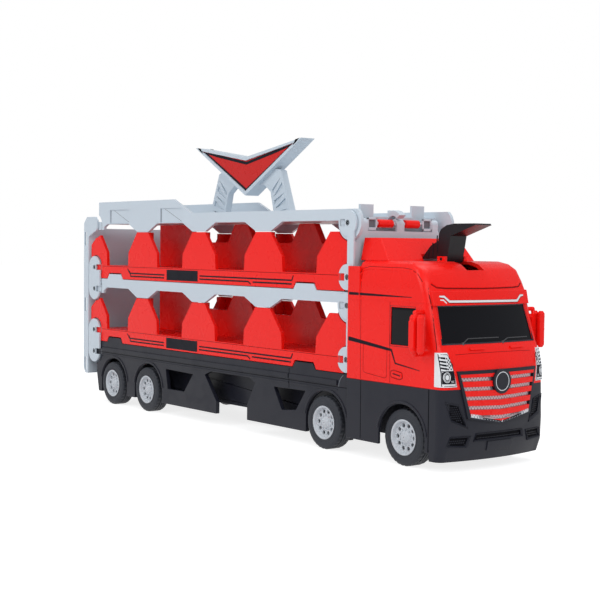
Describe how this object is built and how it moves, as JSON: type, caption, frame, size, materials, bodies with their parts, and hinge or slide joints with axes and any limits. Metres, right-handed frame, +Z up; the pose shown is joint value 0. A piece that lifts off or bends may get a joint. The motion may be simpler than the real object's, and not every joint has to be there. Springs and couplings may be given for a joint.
{
  "type": "toy car transporter truck with unfolding decks",
  "caption": "Toy lorry with a red cab and decks for small cars that unfold into one long track, launch lever on the roof and a carry handle with a V-shaped sign.",
  "frame": {"origin": "on the ground under the middle of the truck, half way between its front and its rear plate", "axes": "+X forward, out of the cab's front; +Y to the truck's left; +Z up"},
  "size_m": [0.43, 0.1076, 0.2036],
  "materials": {
    "red_plastic": "glossy moulded, bright red",
    "grey_plastic": "satin moulded, pale bluish grey",
    "black_plastic": "satin moulded, soft black",
    "dark_window": "glossy, near black, opaque",
    "lamp_print": "printed white and black",
    "silver_print": "silver print on a fine mesh relief",
    "sign_print": "printed red with a dark border",
    "rim_plastic": "satin moulded, light grey",
    "tyre": "matt, dark grey",
    "axle_steel": "plain steel pin"
  },
  "bodies": {
    "truck": {"chassis_deck": "black_plastic", "skirt_left": "black_plastic", "skirt_right": "black_plastic", "underbody": "black_plastic", "cab_lower": "black_plastic", "bumper": "black_plastic", "cab_shell": "red_plastic", "windscreen": "dark_window", "side_window_left": "dark_window", "side_window_right": "dark_window", "visor": "red_plastic", "headlamp_left": "lamp_print", "headlamp_right": "lamp_print", "grille_frame": "black_plastic", "grille_slats": "red_plastic", "grille_mesh": "silver_print", "badge": "black_plastic", "mirror_left": "red_plastic", "mirror_right": "red_plastic", "roof_fairing": "red_plastic"},
    "link_01": {"link_01": "grey_plastic"},
    "track_1": {"track_1": "red_plastic", "divider_1": "red_plastic"},
    "link_12": {"link_12": "grey_plastic"},
    "track_2": {"track_2": "grey_plastic"},
    "link_23": {"link_23": "grey_plastic"},
    "track_3": {"track_3": "red_plastic", "divider_3": "red_plastic"},
    "link_34": {"link_34": "grey_plastic", "rollers": "red_plastic"},
    "track_4": {"track_4": "grey_plastic", "carry_handle": "grey_plastic", "sign_faces": "sign_print"},
    "end_ramp": {"end_ramp": "grey_plastic"},
    "launch_lever": {"lever": "black_plastic"},
    "wheels_1": {"axle_1": "axle_steel", "rims_1": "rim_plastic", "tyres_1": "tyre"},
    "wheels_2": {"axle_2": "axle_steel", "rims_2": "rim_plastic", "tyres_2": "tyre"},
    "wheels_3": {"axle_3": "axle_steel", "rims_3": "rim_plastic", "tyres_3": "tyre"},
    "wheels_4": {"axle_4": "axle_steel", "rims_4": "rim_plastic", "tyres_4": "tyre"}
  },
  "joints": [
    {"name": "unfold", "type": "hinge", "parent": "truck", "child": "link_01", "pos_m": [-0.1975, 0, 0.041], "axis": [0, -1, 0], "range_deg": [0, 90]},
    {"name": "track_1_turn", "type": "hinge", "parent": "link_01", "child": "track_1", "pos_m": [-0.1975, 0, 0.0586], "axis": [0, -1, 0], "range_deg": [0, 90]},
    {"name": "link_12_turn", "type": "hinge", "parent": "track_1", "child": "link_12", "pos_m": [0.123, 0, 0.0586], "axis": [0, -1, 0], "range_deg": [-90, 0]},
    {"name": "track_2_turn", "type": "hinge", "parent": "link_12", "child": "track_2", "pos_m": [0.123, 0, 0.0922], "axis": [0, -1, 0], "range_deg": [-90, 0]},
    {"name": "link_23_turn", "type": "hinge", "parent": "track_2", "child": "link_23", "pos_m": [-0.1975, 0, 0.0922], "axis": [0, -1, 0], "range_deg": [0, 90]},
    {"name": "track_3_turn", "type": "hinge", "parent": "link_23", "child": "track_3", "pos_m": [-0.1975, 0, 0.1098], "axis": [0, -1, 0], "range_deg": [0, 90]},
    {"name": "link_34_turn", "type": "hinge", "parent": "track_3", "child": "link_34", "pos_m": [0.123, 0, 0.1098], "axis": [0, -1, 0], "range_deg": [-90, 0]},
    {"name": "track_4_turn", "type": "hinge", "parent": "link_34", "child": "track_4", "pos_m": [0.123, 0, 0.1434], "axis": [0, -1, 0], "range_deg": [-90, 0]},
    {"name": "end_ramp_turn", "type": "hinge", "parent": "track_4", "child": "end_ramp", "pos_m": [-0.1975, 0, 0.1434], "axis": [0, 1, 0], "range_deg": [0, 67.5]},
    {"name": "lever_press", "type": "hinge", "parent": "truck", "child": "launch_lever", "pos_m": [0.172, 0, 0.1218], "axis": [0, 1, 0], "range_deg": [0, 25]},
    {"name": "wheels_1_spin", "type": "hinge", "parent": "truck", "child": "wheels_1", "pos_m": [-0.167, 0, 0.017], "axis": [0, 1, 0], "continuous": true},
    {"name": "wheels_2_spin", "type": "hinge", "parent": "truck", "child": "wheels_2", "pos_m": [-0.1146, 0, 0.017], "axis": [0, 1, 0], "continuous": true},
    {"name": "wheels_3_spin", "type": "hinge", "parent": "truck", "child": "wheels_3", "pos_m": [0.1015, 0, 0.017], "axis": [0, 1, 0], "continuous": true},
    {"name": "wheels_4_spin", "type": "hinge", "parent": "truck", "child": "wheels_4", "pos_m": [0.1756, 0, 0.017], "axis": [0, 1, 0], "continuous": true}
  ],
  "couplings": [
    {"joint": "track_1_turn", "follows": "unfold", "ratio": 1},
    {"joint": "link_12_turn", "follows": "unfold", "ratio": -1},
    {"joint": "track_2_turn", "follows": "unfold", "ratio": -1},
    {"joint": "link_23_turn", "follows": "unfold", "ratio": 1},
    {"joint": "track_3_turn", "follows": "unfold", "ratio": 1},
    {"joint": "link_34_turn", "follows": "unfold", "ratio": -1},
    {"joint": "track_4_turn", "follows": "unfold", "ratio": -1},
    {"joint": "end_ramp_turn", "follows": "unfold", "ratio": 0.75}
  ]
}
